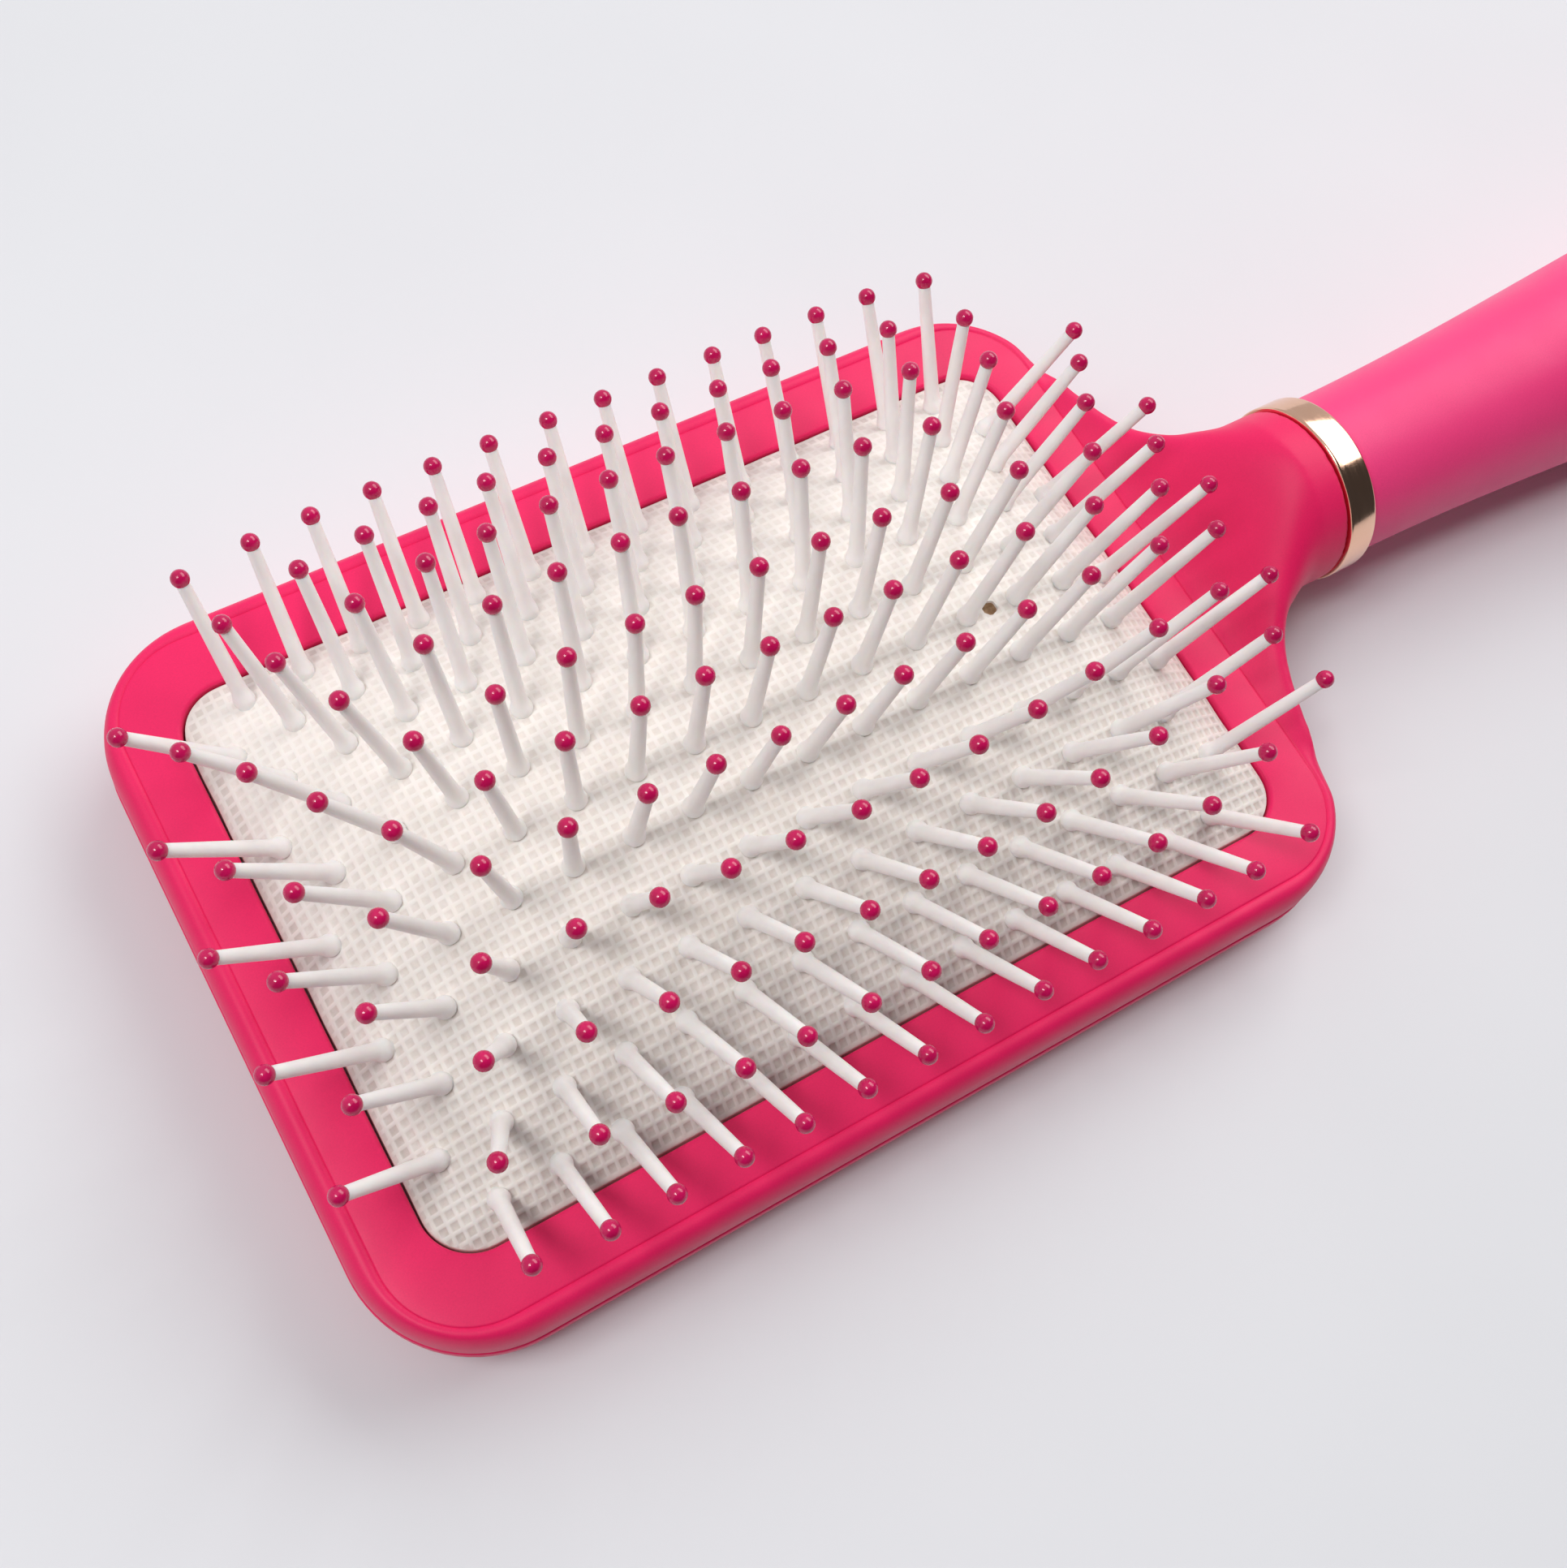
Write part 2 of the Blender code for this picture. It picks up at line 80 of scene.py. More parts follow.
# Shape rules of the design, in millimetres.
HEAD_CORNER, CORNER_TIGHTENING = 14.0, 2.0
PARTING_Z = 6.3
SEAM_INSET = 2.9
GAP = 0.3
OPENING_HALF_X, OPENING_HALF_Y, OPENING_CORNER = 50.5, 32.4, 5.5
DOME_BASE_Z, DOME_HEIGHT, DOME_POWER_X, DOME_POWER_Y = 12.2, 12.3, 5.1, 2.1
PAD_EDGE_GAP = 0.28
FLANGE_TOP_Z = 10.45
VENT, VENT_RADIUS, VENT_DEPTH = (28.2, 0.0), 0.9, 0.9
ROWS, ROW_PITCH, PIN_PITCH, PINS_SHORT_ROW = 11, 5.73, 6.51, 14
FIELD_SHIFT_X, PIN_LENGTH, BALL_RADIUS = -0.9, 15.45, 0.955
LEAN_X, LEAN_Y, LEAN_SHARE = (0.74, 24.0, 1.6), (0.597, 25.5, 4.0), 2.9
COLLAR_RADIUS, COLLAR_X, COLLAR_LENGTH, NECK_START_X = 10.4, 72.7, 3.5, 55.75
NECK_HALF_Y, SHOULDER_SPREAD, SHOULDER_RUN = 11.3, 15.5, 14.1
SHOULDER_POWER, SHOULDER_LIMIT = 5.0, 28.5
NECK_ROUND_X = 65.0         # from here on the neck narrows to the collar
NECK_SQUARENESS = (7.0, 2.0)    # exponent of its section, at the head and at the collar
SCOOP_SLOPES = (0.36, 0.45)
SHOULDER_SMOOTHING = 50     # rounds of smoothing where the neck meets the head's corners
SKIN_VOXEL = 0.36           # grain of the head's one-piece skin
BEZEL_ROUND, OPENING_ROUND = 0.3, 0.45  # edge rounds of the bezel, at the seam and at the opening
TANG_RADIUS, TANG_END_X = 6.0, 139.0
GRIP_RADIUS, GRIP_FULL_X = (9.7, 13.8), 160.0
CELL = 1.18                 # pitch of the square ribs on the pad
RIB_DEPTH = 0.11
RIPPLE = 0.045              # how far the pad swells and sinks between the pins
FOOT_DIMPLE = 0.13          # how far the pad sinks round each pin
FOOT_REACH = 1.9            # how far from the pin that dimple reaches
RIM_WIDTH, RIB_FADE = 2.4, 0.9  # border that carries painted shade, and border where the ribs die away
WORN_MIDDLE, WORN_SPAN = 0.62, 90.0     # depth of the ribs in the middle, and how slowly it changes
GRIP_TAPER, GRIP_TAPER_RUN = 0.9, 24.0  # how much the grip narrows behind its widest place
PIN_SCATTER = 0.009
FLOOR_RADIUS, FLOOR_DROP = 0.8, 0.0002  # metres


# Materials

def new_material(name, colour, roughness, **sockets):
    """A Principled material. The sockets that stay the same all over are set here."""
    mat = bpy.data.materials.new(name)
    mat.use_nodes = True
    shader = mat.node_tree.nodes["Principled BSDF"]
    shader.inputs["Base Color"].default_value = (*colour, 1.0)
    shader.inputs["Roughness"].default_value = roughness
    for key, value in sockets.items():
        shader.inputs[key.replace("_", " ")].default_value = value
    return mat


class Nodes:
    """Short calls for wiring up a material."""

    def __init__(self, mat):
        self.tree = mat.node_tree
        self.shader = self.tree.nodes["Principled BSDF"]
        self.place = self.tree.nodes.new("ShaderNodeTexCoord").outputs["Object"]

    def link(self, out, socket):
        self.tree.links.new(out, socket)

    def stretched(self, scale):
        node = self.tree.nodes.new("ShaderNodeMapping")
        node.inputs["Scale"].default_value = scale
        self.link(self.place, node.inputs["Vector"])
        return node.outputs["Vector"]

    def noise(self, size_mm, detail=2.0, rough=0.5, vector=None):
        node = self.tree.nodes.new("ShaderNodeTexNoise")
        node.inputs["Scale"].default_value = 1.0 / (size_mm * MM)
        node.inputs["Detail"].default_value = detail
        node.inputs["Roughness"].default_value = rough
        self.link(vector or self.place, node.inputs["Vector"])
        return node.outputs["Fac"]

    def attribute(self, name):
        node = self.tree.nodes.new("ShaderNodeAttribute")
        node.attribute_name = name
        return node.outputs["Fac"]

    def ramp(self, fac, *stops):
        """Colour ramp. A stop is (position, grey level) or (position, (r, g, b))."""
        node = self.tree.nodes.new("ShaderNodeValToRGB")
        ramp = node.color_ramp
        while len(ramp.elements) < len(stops):
            ramp.elements.new(0.5)
        for element, (position, value) in zip(ramp.elements, stops):
            element.position = position
            element.color = (*value, 1.0) if isinstance(value, tuple) else (value, value, value, 1.0)
        self.link(fac, node.inputs["Fac"])
        return node.outputs["Color"]

    def mix(self, fac, a, b, mode="MIX"):
        node = self.tree.nodes.new("ShaderNodeMix")
        node.data_type = "RGBA"
        node.blend_type = mode
        for value, socket in ((fac, node.inputs[0]), (a, node.inputs[6]), (b, node.inputs[7])):
            if isinstance(value, (int, float)):
                socket.default_value = value
            elif isinstance(value, tuple):
                socket.default_value = (*value, 1.0)
            else:
                self.link(value, socket)
        return node.outputs[2]

    def math(self, operation, a, b=0.0):
        node = self.tree.nodes.new("ShaderNodeMath")
        node.operation = operation
        for value, socket in ((a, node.inputs[0]), (b, node.inputs[1])):
            if isinstance(value, (int, float)):
                socket.default_value = value
            else:
                self.link(value, socket)
        return node.outputs[0]

    def bump(self, height, depth_mm, after=None):
        node = self.tree.nodes.new("ShaderNodeBump")
        node.inputs["Strength"].default_value = 1.0
        node.inputs["Distance"].default_value = depth_mm * MM
        self.link(height, node.inputs["Height"])
        if after is not None:
            self.link(after, node.inputs["Normal"])
        return node.outputs["Normal"]

    def colour(self, out):
        self.link(out, self.shader.inputs["Base Color"])

    def roughness(self, out):
        self.link(out, self.shader.inputs["Roughness"])

    def normal(self, out):
        self.link(out, self.shader.inputs["Normal"])


def soft_touch(name, light, deep, rough):
    """Moulded plastic with a soft-touch lacquer: fine grain, and faint cloudy change of tone."""
    mat = new_material(name, light, rough, Sheen_Weight=0.04, Sheen_Roughness=0.5,
                       Specular_IOR_Level=0.26)
    n = Nodes(mat)
    cloud = n.noise(17.0, 3.0, 0.55)
    grain = n.noise(0.16, 2.0, 0.6)
    tone = n.mix(n.ramp(cloud, (0.30, 0.0), (0.72, 1.0)), deep, light)
    speck = n.ramp(grain, (0.25, 0.90), (0.75, 1.0))
    n.colour(n.mix(1.0, tone, speck, "MULTIPLY"))
    rubbed = n.noise(9.0, 4.0, 0.6)
    n.roughness(n.ramp(rubbed, (0.3, rough - 0.05), (0.7, rough + 0.06)))
    n.normal(n.bump(grain, 0.006, n.bump(n.noise(3.2, 2.0), 0.012)))
    return mat


def rubber_material():
    """Off-white rubber with painted shade: darker hollows, more so towards -y, and a dark brown painted
    shade towards the rim, strongest in the hollows.
    """
    mat = new_material("pad_rubber", (0.86, 0.83, 0.80), 0.62, Subsurface_Weight=0.10,
                       Subsurface_Scale=0.0012, Specular_IOR_Level=0.35)
    n = Nodes(mat)
    hollow = n.attribute("hollow")
    rim = n.attribute("rim")
    cloud = n.noise(6.0, 4.0, 0.6)
    rubber_tone = n.mix(n.ramp(cloud, (0.3, 0.0), (0.7, 1.0)), (0.87, 0.815, 0.772), (0.92, 0.875, 0.835))
    # Painted shade in the hollows: a darker colour than the ribs, with a random change of tone.
    painted_hollow_shade = n.mix(n.ramp(n.noise(0.9, 3.0, 0.6), (0.35, 0.0), (0.65, 1.0)), (0.71, 0.635, 0.58),
                 (0.82, 0.75, 0.70))
    # Painted shade: the share of hollow shade grows towards -y, the side turned from the light, and fades
    # towards +y.
    across = n.tree.nodes.new("ShaderNodeSeparateXYZ")
    n.link(n.place, across.inputs[0])
    faint = n.math("SUBTRACT", 0.62, n.math("MULTIPLY", across.outputs["Y"], 9.0))
    base = n.mix(n.math("MULTIPLY", hollow, faint), rubber_tone, painted_hollow_shade)
    # Painted shade towards the rim, where the pad runs into the gap under the bezel: patchy dark brown,
    # stronger in the hollows.
    rim_shade_in_hollows = n.math("ADD", n.math("MULTIPLY", hollow, 0.5), 0.35)
    painted_rim_shade = n.math("MULTIPLY", n.math("MULTIPLY", rim, rim_shade_in_hollows),
                   n.ramp(n.noise(2.2, 4.0, 0.65), (0.25, 0.35), (0.75, 0.9)))
    n.colour(n.mix(painted_rim_shade, base, (0.25, 0.17, 0.14)))
    n.roughness(n.ramp(n.noise(1.4, 3.0), (0.3, 0.52), (0.7, 0.72)))
    n.normal(n.bump(n.noise(0.13, 2.0), 0.010))
    return mat


def vent_shade_material():
    # Painted shade: brown for the dark inside of the vent hole, on its deepest band and floor.
    mat = new_material("vent_painted_shade", (0.45, 0.30, 0.18), 0.75)
    n = Nodes(mat)
    n.colour(n.ramp(n.noise(0.5, 3.0), (0.3, (0.36, 0.22, 0.12)), (0.7, (0.56, 0.38, 0.23))))
    n.normal(n.bump(n.noise(0.2, 2.0), 0.02))
    return mat


def nylon_material():
    """White nylon with a little light passing through it, and faint flow marks along the mould."""
    mat = new_material("nylon_white", (0.90, 0.88, 0.87), 0.40, Subsurface_Weight=0.22,
                       Subsurface_Scale=0.0016, Specular_IOR_Level=0.5)
    n = Nodes(mat)
    flow = n.noise(2.4, 3.0, 0.5, n.stretched((1.0, 1.0, 0.25)))
    n.colour(n.ramp(flow, (0.3, (0.86, 0.835, 0.825)), (0.7, (0.93, 0.915, 0.905))))
    n.roughness(n.ramp(n.noise(0.8, 3.0), (0.3, 0.36), (0.7, 0.5)))
    n.normal(n.bump(n.noise(0.25, 2.0), 0.006))
    return mat


def tip_material():
    """Dipped ball tips: a glossy crimson resin over the nylon."""
    mat = new_material("tip_crimson", (0.60, 0.004, 0.085), 0.30, Coat_Weight=0.6, Coat_Roughness=0.02,
                       Coat_IOR=1.6, Specular_IOR_Level=0.10)
    n = Nodes(mat)
    n.colour(n.ramp(n.noise(1.3, 3.0, 0.55), (0.3, (0.46, 0.003, 0.074)), (0.7, (0.60, 0.006, 0.104))))
    n.roughness(n.ramp(n.noise(0.6, 3.0), (0.3, 0.2), (0.7, 0.32)))
    n.normal(n.bump(n.noise(0.7, 2.0), 0.003))
    return mat


def rose_gold_material():
    """Plated ring: bright, with fine rings left by the polishing."""
    mat = new_material("rose_gold_plate", (0.86, 0.60, 0.47), 0.12, Metallic=1.0)
    n = Nodes(mat)
    turned_marks = n.noise(0.5, 3.0, 0.7, n.stretched((3.0, 0.05, 0.05)))
    n.colour(n.ramp(n.noise(7.0, 3.0), (0.3, (0.88, 0.53, 0.37)), (0.7, (0.93, 0.61, 0.46))))
    n.roughness(n.ramp(turned_marks, (0.3, 0.07), (0.7, 0.19)))
    n.normal(n.bump(turned_marks, 0.0012))
    return mat


def inner_material():
    mat = new_material("inner_moulding", (0.42, 0.40, 0.41), 0.55)
    n = Nodes(mat)
    n.colour(n.ramp(n.noise(4.0, 4.0), (0.3, (0.36, 0.34, 0.35)), (0.7, (0.50, 0.48, 0.49))))
    n.roughness(n.ramp(n.noise(1.2, 3.0), (0.3, 0.45), (0.7, 0.65)))
    n.normal(n.bump(n.noise(0.3, 3.0), 0.02))
    return mat


def floor_material():
    mat = new_material("floor_paper", (0.755, 0.765, 0.80), 0.8, Specular_IOR_Level=0.2)
    n = Nodes(mat)
    n.colour(n.ramp(n.noise(60.0, 3.0), (0.3, (0.745, 0.755, 0.79)), (0.7, (0.765, 0.775, 0.81))))
    return mat


HEAD_PINK = soft_touch("soft_touch_pink", (0.91, 0.017, 0.134), (0.85, 0.013, 0.121), 0.46)
GRIP_PINK = soft_touch("satin_grip_pink", (0.96, 0.060, 0.245), (0.93, 0.052, 0.225), 0.42)
RUBBER = rubber_material()
VENT_SHADE = vent_shade_material()
NYLON = nylon_material()
CRIMSON = tip_material()
ROSE_GOLD = rose_gold_material()
INNER = inner_material()


# Mesh helpers

def piece(name, points, faces, mats, sharp_angle=40.0):
    """A mesh object from head-centred millimetres."""
    co = np.array(points, float) + (HEAD_X, 0.0, 0.0)
    mesh = bpy.data.meshes.new(name)
    mesh.from_pydata((co * MM).tolist(), [], faces)
    for mat in mats if isinstance(mats, (list, tuple)) else [mats]:
        mesh.materials.append(mat)
    bm = bmesh.new()
    bm.from_mesh(mesh)
    bmesh.ops.recalc_face_normals(bm, faces=bm.faces)
    bm.to_mesh(mesh)
    bm.free()
    mesh.shade_smooth()
    mesh.set_sharp_from_angle(angle=math.radians(sharp_angle))
    obj = bpy.data.objects.new(name, mesh)
    bpy.context.scene.collection.objects.link(obj)
    return obj


def loops_to_faces(loops, count, first=0, closed=False):
    """Quads between successive loops of equal length."""
    faces = []
    last = loops if closed else loops - 1
    for i in range(last):
        a, b = first + i * count, first + ((i + 1) % loops) * count
        faces += [(a + k, a + (k + 1) % count, b + (k + 1) % count, b + k) for k in range(count)]
    return faces


def rounded_rectangle(half_x, half_y, radius, corner_steps=20, side_steps=8):
    """Points anticlockwise round a rounded rectangle, with the same count for any size."""
    points = []
    centres = ((1, 1), (-1, 1), (-1, -1), (1, -1))
    for quarter, (sx, sy) in enumerate(centres):
        arc = []
        for step in range(corner_steps + 1):
            angle = math.pi / 2 * (quarter + step / corner_steps)
            arc.append((sx * (half_x - radius) + radius * math.cos(angle),
                        sy * (half_y - radius) + radius * math.sin(angle)))
        nx, ny = centres[(quarter + 1) % 4]
        angle = math.pi / 2 * (quarter + 1)
        end = (nx * (half_x - radius) + radius * math.cos(angle),
               ny * (half_y - radius) + radius * math.sin(angle))
        x0, y0 = arc[-1]
        points += arc
        points += [(x0 + (end[0] - x0) * k / side_steps, y0 + (end[1] - y0) * k / side_steps)
                   for k in range(1, side_steps)]
    return points


def head_outline(inset):
    """The head's outline, moved inwards. The corners grow tighter across the lip."""
    tighter = CORNER_TIGHTENING * min(inset / SEAM_INSET, 1.0)
    return rounded_rectangle(HEAD_HALF_X - inset, HEAD_HALF_Y - inset,
                             max(HEAD_CORNER - inset - tighter, 1.0))


def ring_points(outline, z):
    return [(x, y, z) for x, y in outline]


def rounded(points, radius=0.3, steps=4, closed=False):
    """A polyline with each inner corner turned into a short arc-like curve."""
    out = []
    count = len(points)
    for i, p in enumerate(points):
        if not closed and i in (0, count - 1):
            out.append(tuple(p))
            continue
        p = Vector(p)
        a, b = Vector(points[i - 1]), Vector(points[(i + 1) % count])
        ra = min(radius, (a - p).length * 0.45)
        rb = min(radius, (b - p).length * 0.45)
        start, end = p + (a - p).normalized() * ra, p + (b - p).normalized() * rb
        for k in range(steps + 1):
            t = k / steps
            out.append(tuple(start * (1 - t) ** 2 + p * 2 * t * (1 - t) + end * t ** 2))
    return out


def curve_through(points, steps):
    """Catmull-Rom curve through the points."""
    pts = [Vector(p) for p in points]
    pts = [pts[0] * 2 - pts[1], *pts, pts[-1] * 2 - pts[-2]]
    out = []
    for a, b, c, d in zip(pts, pts[1:], pts[2:], pts[3:]):
        for k in range(steps):
            t = k / steps
            out.append(tuple(((b * 2) + (c - a) * t + (a * 2 - b * 5 + c * 4 - d) * t ** 2
                              + (b * 3 - a - c * 3 + d) * t ** 3) / 2))
    out.append(tuple(pts[-2]))
    return out


def smoothstep(t):
    t = min(max(t, 0.0), 1.0)
    return t * t * (3.0 - 2.0 * t)


def mix(a, b, t):
    return a + (b - a) * t


def turned(profile, sides=96, closed=False):
    """Points and faces of a solid of revolution about the handle axis, from (x, radius)."""
    points = []
    for x, radius in profile:
        radius = max(radius, 0.01)
        for k in range(sides):
            angle = 2 * math.pi * k / sides
            points.append((x, radius * math.sin(angle), AXIS_Z - radius * math.cos(angle)))
    faces = loops_to_faces(len(profile), sides, closed=closed)
    if not closed:
        faces.append(tuple(range(sides)))
        faces.append(tuple(range(len(points) - sides, len(points))))
    return points, faces


def join_meshes(*parts):
    points, faces = [], []
    for more_points, more_faces in parts:
        start = len(points)
        points += more_points
        faces += [tuple(start + i for i in face) for face in more_faces]
    return points, faces


def apply_modifier(obj, kind, **settings):
    mod = obj.modifiers.new(kind, kind)
    for key, value in settings.items():
        setattr(mod, key, value)
    deps = bpy.context.evaluated_depsgraph_get()
    mesh = bpy.data.meshes.new_from_object(obj.evaluated_get(deps))
    obj.modifiers.clear()
    old = obj.data
    obj.data = mesh
    bpy.data.meshes.remove(old)


# Head

def neck_half_width(x):
    """Half width of the neck, which flares out into the head as a smooth concave shoulder."""
    flare = SHOULDER_SPREAD * (max(COLLAR_X - x, 0.0) / SHOULDER_RUN) ** SHOULDER_POWER
    return min(NECK_HALF_Y + flare, SHOULDER_LIMIT)


def scoop_z(x):
    """Top of the neck: a hollow that leaves the seam at a slope and meets the collar softly."""
    run = COLLAR_X - COLLAR_LENGTH - NECK_START_X
    t = min(max((x - NECK_START_X) / run, 0.0), 1.0)
    start, end = FACE_Z - 0.2, AXIS_Z + COLLAR_RADIUS
    slope_in, slope_out = SCOOP_SLOPES
    sag = slope_in * t * (1.0 - t) ** 2 - slope_out * t ** 2 * (1.0 - t)
    return start + run * sag + (end - start) * smoothstep(t)


def neck_loft(sides=96):
    collar_start = COLLAR_X - COLLAR_LENGTH
    xs = np.linspace(NECK_START_X, COLLAR_X + 0.25, 60)
    points = []
    for x in xs:
        t = smoothstep((x - HEAD_HALF_X) / (collar_start - HEAD_HALF_X))
        middle = mix(9.3, AXIS_Z, t)
        top = scoop_z(x)
        bottom = mix(PARTING_Z + 0.2, AXIS_Z - COLLAR_RADIUS, t)
        narrowing = smoothstep((x - NECK_ROUND_X) / (collar_start - NECK_ROUND_X))
        width = mix(neck_half_width(x), COLLAR_RADIUS, narrowing)
        power = 2.0 / mix(*NECK_SQUARENESS, t ** 0.35)
        for k in range(sides):
            angle = 2 * math.pi * k / sides
            c, s = math.cos(angle), math.sin(angle)
            y = width * math.copysign(abs(c) ** power, c)
            height = top - middle if s > 0 else middle - bottom
            z = middle + height * math.copysign(abs(s) ** power, s)
            points.append((x, y, z))
    faces = loops_to_faces(len(xs), sides)
    faces.append(tuple(range(sides)))
    faces.append(tuple(range(len(points) - sides, len(points))))
    return points, faces


def soften_shoulders(mesh):
    """Blend the neck's flanks into the corners of the lip, where the two shapes meet."""
    co = np.empty(len(mesh.vertices) * 3)
    mesh.vertices.foreach_get("co", co)
    co = co.reshape(-1, 3)
    ends = np.empty(len(mesh.edges) * 2, dtype=np.int64)
    mesh.edges.foreach_get("vertices", ends)
    ends = ends.reshape(-1, 2)
    x, side = co[:, 0] / MM - HEAD_X, np.abs(co[:, 1]) / MM

    def ramp(value, start, end):
        t = np.clip((value - start) / (end - start), 0.0, 1.0)
        return t * t * (3.0 - 2.0 * t)

    along = ramp(x, 55.9, 57.4) * ramp(x, 69.0, 64.0)
    share = along * ramp(side, 12.0, 17.0) * ramp(side, 35.0, 30.0)
    ends = ends[(share[ends] > 0.0).any(1)]
    a, b = ends[:, 0], ends[:, 1]
    count = np.maximum(np.bincount(a, minlength=len(co)) + np.bincount(b, minlength=len(co)), 1)
    for _ in range(SHOULDER_SMOOTHING):
        for axis in range(3):
            line = co[:, axis]
            total = (np.bincount(a, line[b], len(co)) + np.bincount(b, line[a], len(co)))
            co[:, axis] = np.where(share > 0.0, mix(line, total / count, 0.6 * share), line)
    mesh.vertices.foreach_set("co", co.ravel())
    mesh.update()


def make_head_shell():
    """Outer lip, sides, shoulders and round neck, flowing into each other."""
    crest = curve_through([(0.4, PARTING_Z), (0.2, 7.5), (0.2, 9.3), (0.38, 11.0), (0.92, 12.2),
                           (1.75, FACE_Z + 0.06), (2.5, FACE_Z + 0.0), (SEAM_INSET, 12.55)], 5)
    section = crest + [(SEAM_INSET, 10.5), (5.0, 10.5), (5.0, PARTING_Z)]
    rings = [p for inset, z in section for p in ring_points(head_outline(inset), z)]
    count = len(head_outline(0.0))
    ring = (rings, loops_to_faces(len(section), count, closed=True))
    obj = piece("head_shell", *join_meshes(ring, neck_loft()), HEAD_PINK)
    apply_modifier(obj, "REMESH", mode="VOXEL", voxel_size=SKIN_VOXEL * MM, adaptivity=0.0)
    apply_modifier(obj, "SMOOTH", factor=0.5, iterations=7)
    soften_shoulders(obj.data)
    obj.data.shade_smooth()
    obj.data.materials.clear()
    obj.data.materials.append(HEAD_PINK)
    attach(obj, "brush")
    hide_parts("head_body")
    tang = piece("handle_tang", *turned([(COLLAR_X - 2.0, TANG_RADIUS), (TANG_END_X, TANG_RADIUS),
                                         (TANG_END_X + 1.0, TANG_RADIUS - 1.0)], 48), INNER)
    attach(tang, "brush")


def make_bezel():
    """Flat band between the lip and the pad, with softened edges and a faint crown."""
    outer = SEAM_INSET - GAP

    def outline(t, grow=0.0):
        """Between the seam (t = 0) and the opening (t = 1), pushed outwards by grow."""
        hx = mix(HEAD_HALF_X - outer, OPENING_HALF_X, t) + grow
        hy = mix(HEAD_HALF_Y - outer, OPENING_HALF_Y, t) + grow
        radius = mix(HEAD_CORNER - CORNER_TIGHTENING - outer, OPENING_CORNER, t)
        return rounded_rectangle(hx, hy, radius + grow)

    rings = [(outline(0), BEZEL_BASE_Z), (outline(0), FACE_Z - 1.0)]
    for k in range(6):                                   # outer edge
        a = math.pi / 2 * k / 5
        rings.append((outline(0, -BEZEL_ROUND * (1 - math.cos(a))),
                      FACE_Z - 0.36 + BEZEL_ROUND * math.sin(a)))
    for t in (0.2, 0.35, 0.5, 0.65, 0.8):
        rings.append((outline(t), FACE_Z - 0.07 + 0.12 * math.sin(math.pi * t)))
    for k in range(7):                                   # inner edge
        a = math.pi / 2 * k / 6
        rings.append((outline(1, OPENING_ROUND * (1 - math.sin(a))),
                      FACE_Z - 0.52 + OPENING_ROUND * math.cos(a)))
    rings.append((outline(1), BEZEL_BASE_Z))
    points = [p for line, z in rings for p in ring_points(line, z)]
    faces = loops_to_faces(len(rings), len(rings[0][0]), closed=True)
    obj = piece("bezel_band", points, faces, HEAD_PINK)
    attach(obj, "brush")
    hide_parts("pad_bezel")


def make_back_cover():
    """Shallow dish with a flat back and rounded rise to the parting line."""
    outside = curve_through([(9.0, 0.0), (5.9, 0.6), (3.3, 1.95), (1.3, 3.6), (0.3, 4.85), (0.02, 5.45)], 5)
    outside[0] = (9.0, 0.0)
    outside = [(d, max(z, 0.0)) for d, z in outside]
    rim = rounded([(0.0, BACK_RIM_Z - 0.45), (0.08, BACK_RIM_Z), (3.0, BACK_RIM_Z), (3.4, 3.6), (5.9, 3.2),
                   (5.9, 7.3), (7.6, 7.3), (7.6, 2.0)], 0.2, 3)
    count = len(head_outline(0.0))
    points = []
    for share in (0.4, 0.75, 0.999):
        points += [(x * share, y * share, 0.0) for x, y in head_outline(9.0)]
    for inset, z in outside + rim:
        points += ring_points(head_outline(inset), z)
    for share in (0.75, 0.4):
        points += [(x * share, y * share, 2.0) for x, y in head_outline(7.6)]
    loops = len(points) // count
    faces = loops_to_faces(loops, count)
    faces.append(tuple(range(count)))
    faces.append(tuple(range(len(points) - count, len(points))))
    obj = piece("back_cover", points, faces, HEAD_PINK)
    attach(obj, "brush")
    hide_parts("back_shell")


# Cushion

def dome_z(x, y):
    """Height of the pad's outer surface. Works on numbers and on arrays."""
    u = np.minimum(np.abs(x) / OPENING_HALF_X, 1.0)
    v = np.minimum(np.abs(y) / OPENING_HALF_Y, 1.0)
    return DOME_BASE_Z + DOME_HEIGHT * (1.0 - u ** DOME_POWER_X) * (1.0 - v ** DOME_POWER_Y)


def dome_normal(x, y):
    step = 0.05
    normal = np.stack([-(dome_z(x + step, y) - dome_z(x - step, y)) / (2 * step),
                       -(dome_z(x, y + step) - dome_z(x, y - step)) / (2 * step),
                       np.ones_like(x)], -1)
    return normal / np.linalg.norm(normal, axis=-1, keepdims=True)


def edge_distance(x, y):
    """Signed distance to the pad's outline, negative inside."""
    half_x, half_y = OPENING_HALF_X - PAD_EDGE_GAP, OPENING_HALF_Y - PAD_EDGE_GAP
    radius = OPENING_CORNER - PAD_EDGE_GAP
    qx, qy = np.abs(x) - (half_x - radius), np.abs(y) - (half_y - radius)
    outside = np.hypot(np.maximum(qx, 0), np.maximum(qy, 0))
    return outside + np.minimum(np.maximum(qx, qy), 0) - radius


def rib_lines(half):
    """Grid lines, four to a cell: two carry the rib's top and two the hollow's floor."""
    cells = math.ceil(half / CELL) + 1
    starts = (np.arange(-cells, cells + 1) - 0.13) * CELL
    return (starts[:, None] + np.array([0.0, 0.26, 0.35, 0.91]) * CELL).ravel()


